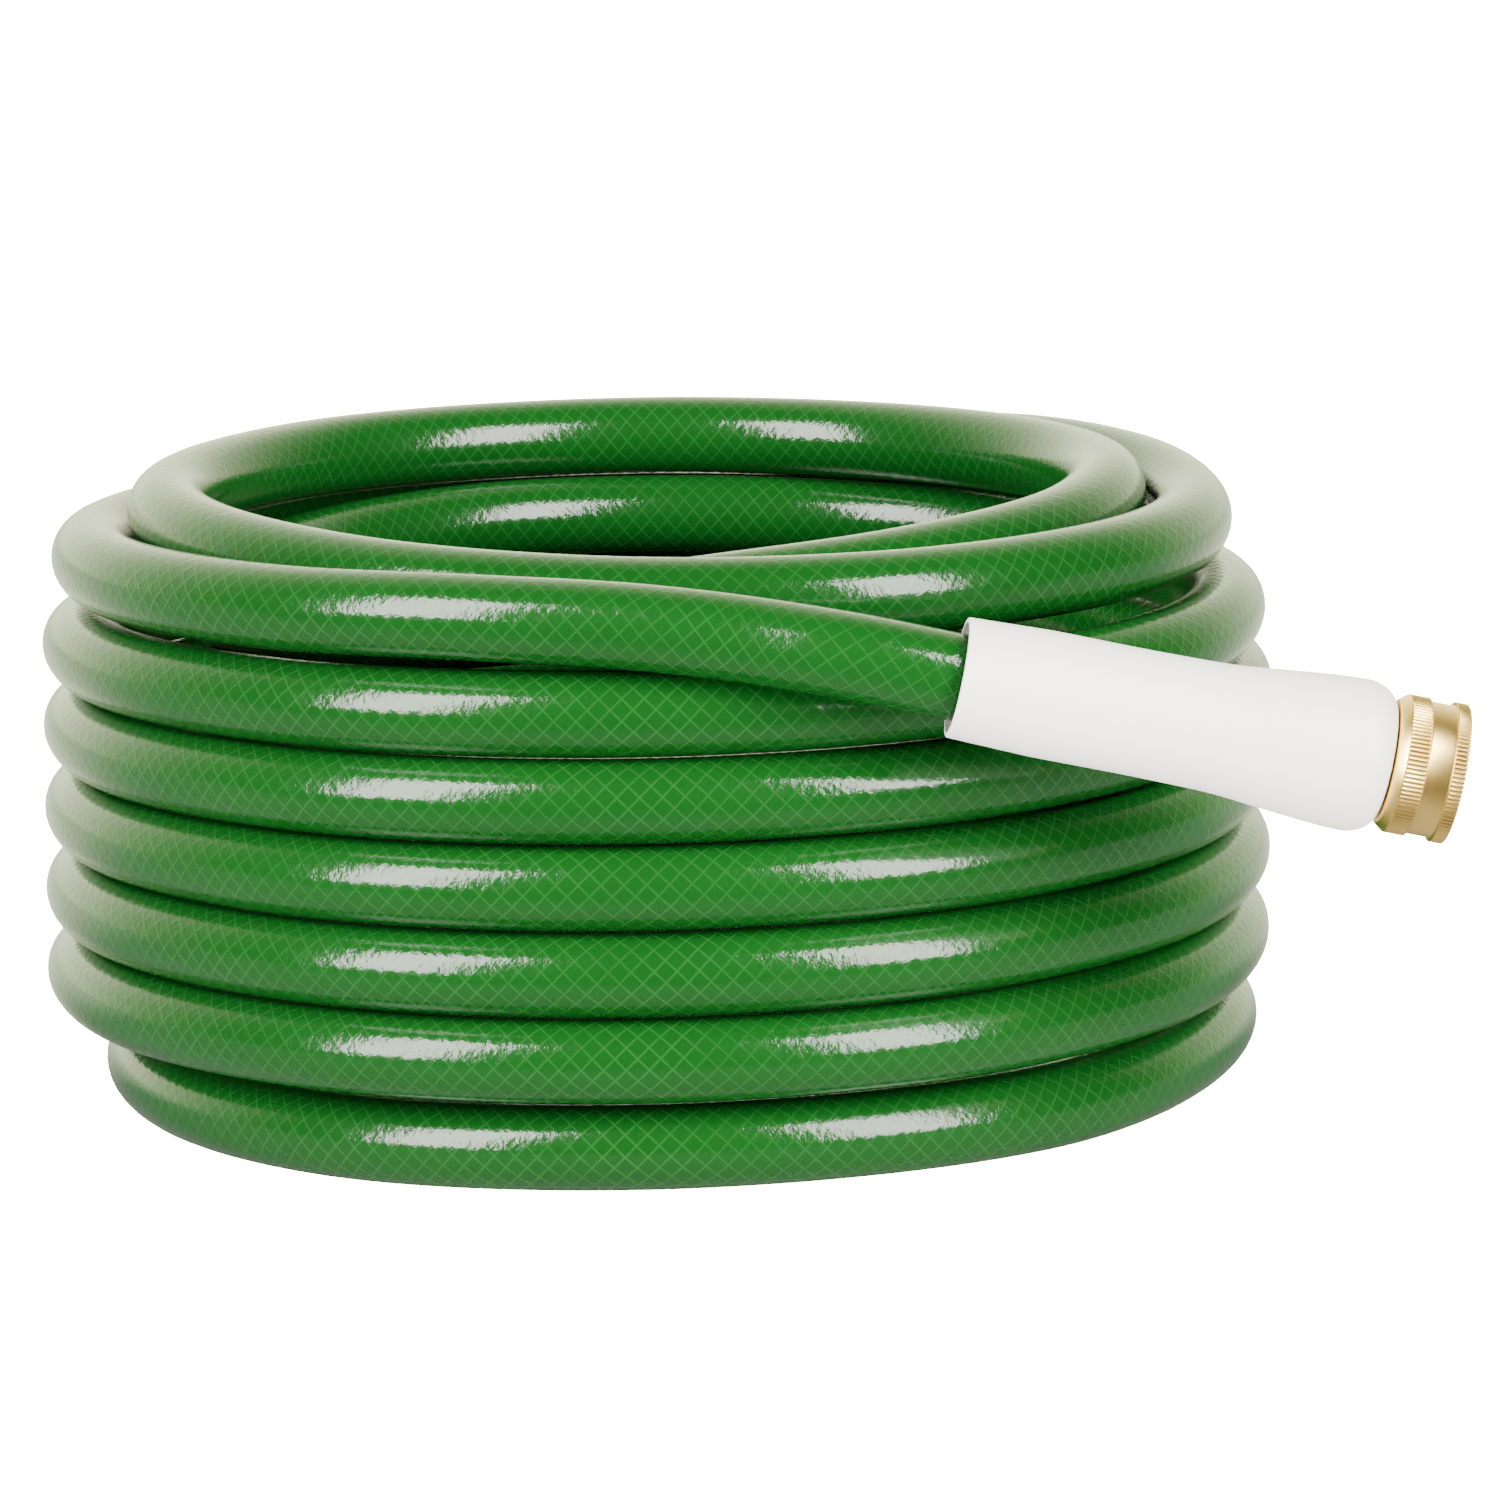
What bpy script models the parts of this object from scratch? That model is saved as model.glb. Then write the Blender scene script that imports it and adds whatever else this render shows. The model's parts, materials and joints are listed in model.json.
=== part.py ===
"""A garden hose in an upright round coil, with a brass coupling in a moulded collar at each end.

One hose winds up from the floor: six outer turns, two inner turns, one last outer turn, and a free
end that lies across the front of the coil. The other end lies on the floor inside the coil.
"""

import math

import bmesh
import bpy
import numpy as np
from mathutils import Euler, Matrix, Vector

# Clearance between pieces that touch, and between one turn and the next
TOUCH_GAP = 0.0003

# Hose
HOSE_DIAMETER = 0.0205
HOSE_BORE = 0.0159
HOSE_POINT_SPACING = 0.025
HOSE_BORE_DEPTH = 0.032
SECTION_RESOLUTION = 4

# Coil: a turn is counted from the left side of the bottom one, and rises anticlockwise from above
COIL_RADIUS = 0.1445
OUTER_TURNS = 5.4
TURN_LIFT = 0.08
FRONT_LIFT = 0.07
POINTS_A_TURN = 12

# Collars, measured along their axis from the mouth that the hose goes in by
COLLAR_LENGTH = 0.102
COLLAR_MOUTH_RADIUS = 0.0142
COLLAR_GRIP_RADIUS = 0.0149
COLLAR_BULB_RADIUS = 0.0180
COLLAR_END_RADIUS = 0.0126
COLLAR_MOUTH_WALL = 0.0011
COLLAR_LIP_LENGTH = 0.020
COLLAR_NECK_LENGTH = 0.046
COLLAR_FLARE_LENGTH = 0.0403
COLLAR_SHOULDER_LENGTH = 0.012
COLLAR_ROUND_LENGTH = 0.0078
COLLAR_FUNNEL_LENGTH = 0.012
HOSE_SEAT = 0.084
# The flare from the grip to the bulb, as shares of its length and of its height
FLARE_SHAPE = ((1.0, 0.94), (0.667, 0.55), (0.36, 0.13))
ROUND_ANGLES = (60, 40, 20)

# Direction of the free end's collar
FREE_HEADING = math.radians(2.5)
FREE_DIP = math.radians(11.6)

# Inner end, on the floor inside the coil: how far in from the coil's radius it starts and ends
TAIL_INSET = 0.015
TAIL_COLLAR_INSET = 0.0565
TAIL_TURN = math.radians(90)
TAIL_BEND_STEPS = 6
# Share of the bend in which the hose comes down from the collar's mouth to the floor
TAIL_DROP_SHARE = 0.77

# Brass fittings
SHANK_LENGTH = 0.027
SHANK_BORE_RADIUS = 0.0064
HEAD_RADIUS = 0.0101
NECK_RADIUS = 0.0086
FLANGE_RADIUS = 0.0120
FLANGE_THICKNESS = 0.0016
NUT_LENGTH = 0.0165
NUT_BACK_RADIUS = 0.0146
NUT_BAND_RADIUS = 0.0164
NUT_WAIST_RADIUS = 0.0157
NUT_RIM_RADIUS = 0.0166
NUT_CHAMFER = 0.0023
NUT_BAND_WIDTH = 0.0050
NUT_RIM_WIDTH = 0.0033
NUT_STEP = 0.0004
NUT_BACK_WALL = 0.0022
NUT_SOCKET_RADIUS = 0.0129
NUT_MOUTH_CHAMFER = 0.0010
WASHER_BORE_RADIUS = 0.0080
WASHER_THICKNESS = 0.0030
SHOULDER_RADIUS = 0.0152
SHOULDER_THICKNESS = 0.0035
THREAD_RADIUS = 0.0133
THREAD_LENGTH = 0.0135
THREAD_CHAMFER = 0.0012

ROUND_STEPS = 36
SHARP_ANGLE = math.radians(35)
WELD_DISTANCE = 1e-6

HOSE_RADIUS = HOSE_DIAMETER / 2
PITCH = HOSE_DIAMETER + TOUCH_GAP
SHANK_RADIUS = HOSE_BORE / 2 - TOUCH_GAP
TAIL_RADIUS = COIL_RADIUS - TAIL_INSET
TAIL_BEND_RADIUS = COIL_RADIUS - TAIL_COLLAR_INSET


def remove_scene_objects():
    for obj in list(bpy.data.objects):
        bpy.data.objects.remove(obj, do_unlink=True)


def material(name, colour, roughness, metallic=0.0):
    made = bpy.data.materials.new(name)
    made.use_nodes = True
    shader = made.node_tree.nodes["Principled BSDF"]
    shader.inputs["Base Color"].default_value = (*colour, 1.0)
    shader.inputs["Roughness"].default_value = roughness
    shader.inputs["Metallic"].default_value = metallic
    made.diffuse_color = (*colour, 1.0)
    return made


# The route of the hose

# Turns from the start, distance out from COIL_RADIUS in pitches, height above the floor in pitches
BOTTOM_TURN = (
    (0.08, -0.66, 0.04),
    (0.16, -0.50, 0.15),
    (0.25, -0.34, 0.31),
    (0.38, -0.22, 0.39),
    (0.50, -0.13, 0.47),
    (0.63, -0.06, 0.57),
    (0.75, 0.0, 0.72),
    (0.88, 0.0, 0.88),
)
TOP_TURNS = (
    (5.500, -0.13, 5.59),
    (5.563, -0.40, 5.62),
    (5.625, -0.80, 5.70),
    (5.688, -1.17, 5.70),
    (5.750, -1.46, 5.72),
    (5.813, -1.62, 5.73),
    (5.906, -1.62, 5.64),
    (6.000, -1.60, 5.60),
    (6.125, -1.76, 5.77),
    (6.205, -2.06, 6.08),
    (6.270, -2.08, 6.36),
    (6.340, -1.84, 6.58),
    (6.420, -1.64, 6.76),
    (6.500, -1.54, 6.88),
    (6.580, -1.39, 6.82),
    (6.670, -1.20, 6.73),
    (6.750, -1.07, 6.68),
    (6.875, -1.04, 6.66),
    (7.000, -1.04, 6.68),
    (7.080, -1.06, 6.65),
    (7.165, -1.02, 6.58),
    (7.250, -0.88, 6.54),
    (7.320, -0.64, 6.56),
    (7.400, -0.53, 6.59),
    (7.500, -0.50, 6.59),
    (7.563, -0.42, 6.65),
    (7.625, -0.26, 6.61),
    (7.688, -0.11, 6.42),
    (7.750, -0.03, 6.16),
    (7.875, -0.06, 6.02),
    (8.000, -0.13, 6.14),
    (8.080, -0.06, 6.26),
    (8.150, 0.01, 6.37),
    (8.205, 0.06, 6.45),
    (8.250, 0.24, 6.41),
    (8.276, 0.55, 6.30),
)
# Middle of the free collar's mouth, the straight hose before it, and the route's points inside it
FREE_STATION = (8.3175, 1.372, 5.925)
FREE_APPROACH = 0.028
SEAT_SHARES = (1.0, 0.7, 0.4, 0.1)


def coil_place(turn, out, level):
    angle = math.pi + 2 * math.pi * turn
    radius = COIL_RADIUS + out * PITCH
    return Vector((radius * math.cos(angle), radius * math.sin(angle), HOSE_RADIUS + level * PITCH))


def direction(heading, dip):
    """A unit vector at a heading from +X, pointing down by the dip."""
    flat = math.cos(dip)
    return Vector((flat * math.cos(heading), flat * math.sin(heading), -math.sin(dip)))


def outer_turns():
    """The stack's turns lie straight on each other, and rise a pitch a turn, a little more in front."""
    count = round((OUTER_TURNS - 1) * POINTS_A_TURN)
    for k in range(count + 1):
        turn = 1 + k / POINTS_A_TURN
        level = turn + TURN_LIFT + FRONT_LIFT * math.sin(2 * math.pi * turn)
        yield coil_place(turn, 0.0, level)


def free_end():
    """Mouth and axis of the free end's collar, in front of the coil."""
    return coil_place(*FREE_STATION), direction(FREE_HEADING, FREE_DIP)


def tail_end():
    """Mouth and axis of the inner collar, which rests on the floor on its mouth and its bulb."""
    heading = math.pi / 2 - TAIL_TURN
    rise = math.asin((COLLAR_BULB_RADIUS - COLLAR_MOUTH_RADIUS) / bulb_place())
    centre_x = TAIL_BEND_RADIUS - TAIL_RADIUS
    mouth = Vector((
        centre_x + TAIL_BEND_RADIUS * math.cos(math.pi - TAIL_TURN),
        TAIL_BEND_RADIUS * math.sin(math.pi - TAIL_TURN),
        COLLAR_MOUTH_RADIUS + TOUCH_GAP,
    ))
    return mouth, direction(heading, -rise)


def tail_bend():
    """The bend on the floor from the inner collar's mouth back to the first turn."""
    mouth, _ = tail_end()
    for k in range(1, TAIL_BEND_STEPS):
        share = k / TAIL_BEND_STEPS
        angle = math.pi - TAIL_TURN * (1 - share)
        height = mouth.z + (HOSE_RADIUS - mouth.z) * min(1.0, share / TAIL_DROP_SHARE)
        x = TAIL_BEND_RADIUS - TAIL_RADIUS + TAIL_BEND_RADIUS * math.cos(angle)
        yield Vector((x, TAIL_BEND_RADIUS * math.sin(angle), height))


def along(mouth, axis, distances):
    return [mouth + axis * distance for distance in distances]


def route_points():
    tail_mouth, tail_axis = tail_end()
    free_mouth, free_axis = free_end()
    inside = [HOSE_SEAT * share for share in SEAT_SHARES]
    points = along(tail_mouth, tail_axis, inside)
    points += tail_bend()
    points += [coil_place(*station) for station in BOTTOM_TURN]
    points += outer_turns()
    points += [coil_place(*station) for station in TOP_TURNS]
    points += along(free_mouth, free_axis, (-FREE_APPROACH,))
    points += along(free_mouth, free_axis, reversed(inside))
    return np.array([tuple(p) for p in points])


def smooth_route():
    """Points at an even spacing on a smooth curve through the route's own points."""
    points = route_points()
    chords = np.linalg.norm(np.diff(points, axis=0), axis=1)
    place = np.concatenate([[0.0], np.cumsum(chords)])
    slopes = np.gradient(points, place, axis=0)
    count = round(place[-1] / HOSE_POINT_SPACING)
    at = np.linspace(0.0, place[-1], count + 1)
    i = np.clip(np.searchsorted(place, at, side="right") - 1, 0, len(chords) - 1)
    span = chords[i][:, None]
    t = ((at - place[i]) / chords[i])[:, None]
    return (
        (2 * t**3 - 3 * t**2 + 1) * points[i]
        + (t**3 - 2 * t**2 + t) * span * slopes[i]
        + (3 * t**2 - 2 * t**3) * points[i + 1]
        + (t**3 - t**2) * span * slopes[i + 1]
    )


def hose(parent, finish):
    """The hose as one tube, bored at both ends for the shanks of the fittings."""
    curve = bpy.data.curves.new("hose_route", "CURVE")
    curve.dimensions = "3D"
    curve.twist_mode = "Z_UP"
    curve.bevel_depth = HOSE_RADIUS
    curve.bevel_resolution = SECTION_RESOLUTION
    curve.use_fill_caps = True
    route = smooth_route()
    spline = curve.splines.new("POLY")
    spline.points.add(len(route) - 1)
    for point, place in zip(spline.points, route):
        point.co = (*place, 1.0)
    guide = bpy.data.objects.new("hose_guide", curve)
    bpy.context.scene.collection.objects.link(guide)
    bpy.context.view_layer.update()
    mesh = bpy.data.meshes.new_from_object(guide.evaluated_get(bpy.context.evaluated_depsgraph_get()))
    bpy.data.objects.remove(guide, do_unlink=True)
    weld(mesh)
    obj = bpy.data.objects.new("hose", mesh)
    bpy.context.scene.collection.objects.link(obj)
    obj.parent = parent
    obj.data.materials.append(finish)
    obj.data.shade_smooth()
    return obj


def weld(mesh):
    bm = bmesh.new()
    bm.from_mesh(mesh)
    bmesh.ops.remove_doubles(bm, verts=bm.verts, dist=WELD_DISTANCE)
    bmesh.ops.recalc_face_normals(bm, faces=bm.faces)
    bm.to_mesh(mesh)
    bm.free()


def bore_hose_end(hose_object, holder):
    """Bore the end of the hose that is seated in this collar."""
    mesh = bpy.data.meshes.new(f"{holder.name}_bore_cutter")
    bm = bmesh.new()
    bmesh.ops.create_cone(
        bm,
        cap_ends=True,
        segments=ROUND_STEPS,
        radius1=HOSE_BORE / 2,
        radius2=HOSE_BORE / 2,
        depth=2 * HOSE_BORE_DEPTH,
        matrix=Matrix.Translation((0, 0, HOSE_SEAT)),
    )
    bm.to_mesh(mesh)
    bm.free()
    cutter = bpy.data.objects.new(f"{holder.name}_bore_cutter", mesh)
    bpy.context.scene.collection.objects.link(cutter)
    cutter.parent = holder
    cutter.hide_render = True
    cutter.display_type = "WIRE"
    cut = hose_object.modifiers.new(f"{holder.name} bore", "BOOLEAN")
    cut.operation = "DIFFERENCE"
    cut.solver = "EXACT"
    cut.object = cutter


# Turned pieces: an outline of (radius, distance along the axis), outer side first, from the far end


def turned(name, outline, parent, finish):
    """Turn a closed outline about the parent's Z axis."""
    bm = bmesh.new()
    corners = [bm.verts.new((radius, 0.0, height)) for radius, height in outline]
    sides = [bm.edges.new(pair) for pair in zip(corners, corners[1:] + corners[:1])]
    bmesh.ops.spin(
        bm,
        geom=corners + sides,
        cent=(0.0, 0.0, 0.0),
        axis=(0.0, 0.0, 1.0),
        angle=2 * math.pi,
        steps=ROUND_STEPS,
        use_merge=True,
    )
    mesh = bpy.data.meshes.new(name)
    bm.to_mesh(mesh)
    bm.free()
    weld(mesh)
    mesh.shade_smooth()
    mesh.set_sharp_from_angle(angle=SHARP_ANGLE)
    mesh.materials.append(finish)
    obj = bpy.data.objects.new(name, mesh)
    bpy.context.scene.collection.objects.link(obj)
    obj.parent = parent
    return obj


def bulb_place():
    """Where the collar is widest."""
    return COLLAR_LENGTH - COLLAR_ROUND_LENGTH


def collar(name, parent, finish):
    """A collar that is wide at its mouth, grips the hose further in, and ends in a rounded bulb."""
    seat_radius = HOSE_RADIUS + TOUCH_GAP
    mouth_bore = COLLAR_MOUTH_RADIUS - COLLAR_MOUTH_WALL
    neck_end = COLLAR_LENGTH - COLLAR_NECK_LENGTH
    grip_end = COLLAR_LENGTH - COLLAR_SHOULDER_LENGTH - COLLAR_FLARE_LENGTH
    outer = [(COLLAR_END_RADIUS, COLLAR_LENGTH)]
    for degrees in ROUND_ANGLES:
        angle = math.radians(degrees)
        reach = COLLAR_BULB_RADIUS - COLLAR_END_RADIUS
        outer.append((
            COLLAR_END_RADIUS + reach * math.cos(angle),
            bulb_place() + COLLAR_ROUND_LENGTH * math.sin(angle),
        ))
    outer.append((COLLAR_BULB_RADIUS, bulb_place()))
    for length_share, height_share in FLARE_SHAPE:
        outer.append((
            COLLAR_GRIP_RADIUS + height_share * (COLLAR_BULB_RADIUS - COLLAR_GRIP_RADIUS),
            grip_end + length_share * COLLAR_FLARE_LENGTH,
        ))
    outer.append((COLLAR_GRIP_RADIUS, grip_end))
    outer.append((COLLAR_GRIP_RADIUS, COLLAR_LIP_LENGTH))
    outer.append((COLLAR_MOUTH_RADIUS, 0.0))
    inner = [
        (mouth_bore, 0.0),
        (mouth_bore, neck_end - COLLAR_FUNNEL_LENGTH),
        (seat_radius, neck_end),
        (seat_radius, COLLAR_LENGTH),
    ]
    return turned(name, outer + inner, parent, finish)


def shank_and_head():
    """Inner half of both fittings: the bore's near end, the shank in the hose and the head past it."""
    start = HOSE_SEAT - SHANK_LENGTH
    return [
        (HEAD_RADIUS, HOSE_SEAT + TOUCH_GAP),
        (SHANK_RADIUS, HOSE_SEAT + TOUCH_GAP),
        (SHANK_RADIUS, start),
        (SHANK_BORE_RADIUS, start),
    ]


def nut_back():
    return COLLAR_LENGTH + TOUCH_GAP


def flange_place():
    return nut_back() + NUT_BACK_WALL + TOUCH_GAP


def female_stem(parent, finish):
    top = flange_place() + FLANGE_THICKNESS
    outline = [
        (SHANK_BORE_RADIUS, top),
        (FLANGE_RADIUS, top),
        (FLANGE_RADIUS, flange_place()),
        (NECK_RADIUS, flange_place()),
        (NECK_RADIUS, COLLAR_LENGTH),
        (HEAD_RADIUS, COLLAR_LENGTH),
        *shank_and_head(),
    ]
    return turned("female_stem", outline, parent, finish)


def swivel_nut(parent, finish):
    back = nut_back()
    front = back + NUT_LENGTH
    band = back + NUT_CHAMFER
    waist = band + NUT_BAND_WIDTH
    rim = front - NUT_RIM_WIDTH
    outline = [
        (NUT_SOCKET_RADIUS + NUT_MOUTH_CHAMFER, front),
        (NUT_RIM_RADIUS - NUT_STEP, front),
        (NUT_RIM_RADIUS, front - NUT_STEP),
        (NUT_RIM_RADIUS, rim),
        (NUT_WAIST_RADIUS, rim),
        (NUT_WAIST_RADIUS, waist),
        (NUT_BAND_RADIUS, waist),
        (NUT_BAND_RADIUS, band),
        (NUT_BACK_RADIUS, back),
        (NECK_RADIUS + TOUCH_GAP, back),
        (NECK_RADIUS + TOUCH_GAP, back + NUT_BACK_WALL),
        (NUT_SOCKET_RADIUS, back + NUT_BACK_WALL),
        (NUT_SOCKET_RADIUS, front - NUT_MOUTH_CHAMFER),
    ]
    return turned("swivel_nut", outline, parent, finish)


def washer(parent, finish):
    near = flange_place() + FLANGE_THICKNESS + TOUCH_GAP
    far = near + WASHER_THICKNESS
    outer = NUT_SOCKET_RADIUS - TOUCH_GAP
    outline = [(WASHER_BORE_RADIUS, far), (outer, far), (outer, near), (WASHER_BORE_RADIUS, near)]
    return turned("washer", outline, parent, finish)


def male_fitting(parent, finish):
    shoulder = nut_back()
    thread = shoulder + SHOULDER_THICKNESS
    front = thread + THREAD_LENGTH
    outline = [
        (SHANK_BORE_RADIUS, front),
        (THREAD_RADIUS - THREAD_CHAMFER, front),
        (THREAD_RADIUS, front - THREAD_CHAMFER),
        (THREAD_RADIUS, thread),
        (SHOULDER_RADIUS, thread),
        (SHOULDER_RADIUS, shoulder),
        (HEAD_RADIUS, shoulder),
        *shank_and_head(),
    ]
    return turned("male_fitting", outline, parent, finish)


def empty(name, parent=None, place=Vector(), axis=None):
    """An empty whose Z axis is the given axis."""
    obj = bpy.data.objects.new(name, None)
    bpy.context.scene.collection.objects.link(obj)
    obj.parent = parent
    obj.location = place
    if axis is not None:
        tilt = math.acos(axis.z)
        heading = math.atan2(axis.y, axis.x)
        obj.rotation_euler = Euler((0.0, tilt, heading))
    return obj


def stand_at_origin(root):
    """Move the whole part so that the origin is at the middle of its underside."""
    bpy.context.view_layer.update()
    graph = bpy.context.evaluated_depsgraph_get()
    corners = []
    for obj in bpy.data.objects:
        if obj.type == "MESH" and not obj.hide_render:
            seen = obj.evaluated_get(graph)
            corners += [seen.matrix_world @ v.co for v in seen.data.vertices]
    low = Vector(map(min, zip(*corners)))
    high = Vector(map(max, zip(*corners)))
    root.location = Vector((-(low.x + high.x) / 2, -(low.y + high.y) / 2, -low.z))


def main():
    remove_scene_objects()
    green = material("green_hose", (0.025, 0.21, 0.03), 0.18)
    white = material("white_collar", (0.80, 0.79, 0.77), 0.40)
    brass = material("brass", (0.83, 0.62, 0.27), 0.28, metallic=1.0)
    rubber = material("black_rubber", (0.02, 0.02, 0.02), 0.60)

    root = empty("garden_hose")
    female_end = empty("female_end", root, *free_end())
    male_end = empty("male_end", root, *tail_end())

    tube = hose(root, green)
    bore_hose_end(tube, female_end)
    bore_hose_end(tube, male_end)
    collar("female_sleeve", female_end, white)
    female_stem(female_end, brass)
    swivel_nut(female_end, brass)
    washer(female_end, rubber)
    collar("male_sleeve", male_end, white)
    male_fitting(male_end, brass)
    stand_at_origin(root)


main()
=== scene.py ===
"""A coiled garden hose with its finish: braided green vinyl, white collars and brass couplings.

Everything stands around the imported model, which is loaded first. The sizes below repeat the ones of the
model, because each new piece lies where the model's own piece lies.
"""

import json
import math

import bmesh
import bpy
import numpy as np
from bpy.props import FloatProperty, FloatVectorProperty, IntProperty, PointerProperty
from bpy.types import Operator, Panel, PropertyGroup
from mathutils import Matrix, Vector


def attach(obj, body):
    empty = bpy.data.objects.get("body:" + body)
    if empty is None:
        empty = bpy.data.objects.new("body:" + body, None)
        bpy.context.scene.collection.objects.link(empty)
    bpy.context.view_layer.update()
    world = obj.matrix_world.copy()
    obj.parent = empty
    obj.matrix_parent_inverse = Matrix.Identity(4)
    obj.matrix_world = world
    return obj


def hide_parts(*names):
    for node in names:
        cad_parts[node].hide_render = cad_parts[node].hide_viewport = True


bl_info = {
    "name": "Coiled Garden Hose",
    "version": (1, 0, 0),
    "blender": (4, 5, 0),
    "location": "3D View > Sidebar > Garden Hose",
    "description": "Adds a braided garden hose in a coil, with its collars and brass couplings",
    "category": "Add Mesh",
}

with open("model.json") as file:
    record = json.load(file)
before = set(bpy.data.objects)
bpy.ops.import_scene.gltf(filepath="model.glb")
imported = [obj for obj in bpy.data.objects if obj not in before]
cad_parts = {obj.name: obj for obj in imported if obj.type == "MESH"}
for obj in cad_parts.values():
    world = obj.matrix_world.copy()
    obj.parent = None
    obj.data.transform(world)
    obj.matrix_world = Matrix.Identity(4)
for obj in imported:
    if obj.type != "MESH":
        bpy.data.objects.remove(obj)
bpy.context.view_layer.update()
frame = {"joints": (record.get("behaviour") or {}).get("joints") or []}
SWIVEL = frame["joints"][0]
HOSE_BODY = "hose_body"
NUT_BODY = "coupling_nut"

# Sizes of the model, in metres
TOUCH_GAP = 0.0003
HOSE_DIAMETER = 0.0205
HOSE_BORE = 0.0159
HOSE_BORE_DEPTH = 0.032
COIL_RADIUS = 0.1445
OUTER_TURNS = 5.4
TURN_LIFT = 0.08
FRONT_LIFT = 0.07
POINTS_A_TURN = 12
COLLAR_LENGTH = 0.102
COLLAR_MOUTH_RADIUS = 0.0142
COLLAR_GRIP_RADIUS = 0.0149
COLLAR_BULB_RADIUS = 0.0180
COLLAR_END_RADIUS = 0.0126
COLLAR_MOUTH_WALL = 0.0011
COLLAR_LIP_LENGTH = 0.020
COLLAR_NECK_LENGTH = 0.046
COLLAR_FLARE_LENGTH = 0.0403
COLLAR_SHOULDER_LENGTH = 0.012
COLLAR_ROUND_LENGTH = 0.0078
COLLAR_FUNNEL_LENGTH = 0.012
HOSE_SEAT = 0.084
FLARE_SHAPE = ((1.0, 0.94), (0.667, 0.55), (0.36, 0.13))
FREE_HEADING = math.radians(2.5)
FREE_DIP = math.radians(11.6)
TAIL_INSET = 0.015
TAIL_COLLAR_INSET = 0.0565
TAIL_BEND_STEPS = 6
TAIL_DROP_SHARE = 0.77
SHANK_LENGTH = 0.027
SHANK_BORE_RADIUS = 0.0064
HEAD_RADIUS = 0.0101
NECK_RADIUS = 0.0086
FLANGE_RADIUS = 0.0120
FLANGE_THICKNESS = 0.0016
NUT_LENGTH = 0.0165
NUT_BACK_RADIUS = 0.0146
NUT_BAND_RADIUS = 0.0164
NUT_WAIST_RADIUS = 0.0157
NUT_RIM_RADIUS = 0.0166
NUT_CHAMFER = 0.0023
NUT_BAND_WIDTH = 0.0050
NUT_RIM_WIDTH = 0.0033
NUT_BACK_WALL = 0.0022
NUT_SOCKET_RADIUS = 0.0129
NUT_MOUTH_CHAMFER = 0.0010
WASHER_BORE_RADIUS = 0.0080
WASHER_THICKNESS = 0.0030
SHOULDER_RADIUS = 0.0152
SHOULDER_THICKNESS = 0.0035
THREAD_RADIUS = 0.0133
THREAD_LENGTH = 0.0135
THREAD_CHAMFER = 0.0012

HOSE_RADIUS = HOSE_DIAMETER / 2
PITCH = HOSE_DIAMETER + TOUCH_GAP
SHANK_RADIUS = HOSE_BORE / 2 - TOUCH_GAP
TAIL_RADIUS = COIL_RADIUS - TAIL_INSET
TAIL_BEND_RADIUS = COIL_RADIUS - TAIL_COLLAR_INSET
NUT_BACK = COLLAR_LENGTH + TOUCH_GAP
NUT_FRONT = NUT_BACK + NUT_LENGTH
FLANGE_PLACE = NUT_BACK + NUT_BACK_WALL + TOUCH_GAP
WASHER_NEAR = FLANGE_PLACE + FLANGE_THICKNESS + TOUCH_GAP
WASHER_FAR = WASHER_NEAR + WASHER_THICKNESS
THREAD_START = NUT_BACK + SHOULDER_THICKNESS
THREAD_END = THREAD_START + THREAD_LENGTH

# The route of the hose: turns from the start, distance out from COIL_RADIUS and height, in pitches
BOTTOM_TURN = (
    (0.08, -0.66, 0.04),
    (0.16, -0.50, 0.15),
    (0.25, -0.34, 0.31),
    (0.38, -0.22, 0.39),
    (0.50, -0.13, 0.47),
    (0.63, -0.06, 0.57),
    (0.75, 0.0, 0.72),
    (0.88, 0.0, 0.88),
)
TOP_TURNS = (
    (5.500, -0.13, 5.59),
    (5.563, -0.40, 5.62),
    (5.625, -0.80, 5.70),
    (5.688, -1.17, 5.70),
    (5.750, -1.46, 5.72),
    (5.813, -1.62, 5.73),
    (5.906, -1.62, 5.64),
    (6.000, -1.60, 5.60),
    (6.125, -1.76, 5.77),
    (6.205, -2.06, 6.08),
    (6.270, -2.08, 6.36),
    (6.340, -1.84, 6.58),
    (6.420, -1.64, 6.76),
    (6.500, -1.54, 6.88),
    (6.580, -1.39, 6.82),
    (6.670, -1.20, 6.73),
    (6.750, -1.07, 6.68),
    (6.875, -1.04, 6.66),
    (7.000, -1.04, 6.68),
    (7.080, -1.06, 6.65),
    (7.165, -1.02, 6.58),
    (7.250, -0.88, 6.54),
    (7.320, -0.64, 6.56),
    (7.400, -0.53, 6.59),
    (7.500, -0.50, 6.59),
    (7.563, -0.42, 6.65),
    (7.625, -0.26, 6.61),
    (7.688, -0.11, 6.42),
    (7.750, -0.03, 6.16),
    (7.875, -0.06, 6.02),
    (8.000, -0.13, 6.14),
    (8.080, -0.06, 6.26),
    (8.150, 0.01, 6.37),
    (8.205, 0.06, 6.45),
    (8.250, 0.24, 6.41),
    (8.276, 0.55, 6.30),
)
FREE_STATION = (8.3175, 1.372, 5.925)
FREE_APPROACH = 0.028
SEAT_SHARES = (1.0, 0.7, 0.4, 0.1)

# Rounded edges, and the finer shape of the threads in shares of their pitch and depth
FINE_EDGE = 0.0002
SMALL_EDGE = 0.0003
PLAIN_EDGE = 0.0004
FULL_EDGE = 0.0005
COLLAR_BORE_EDGE = 0.004
THREAD_CREST_SHARE = 0.2
THREAD_ROOT_SHARE = 0.4
INNER_THREAD_SHARE = 0.7

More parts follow.
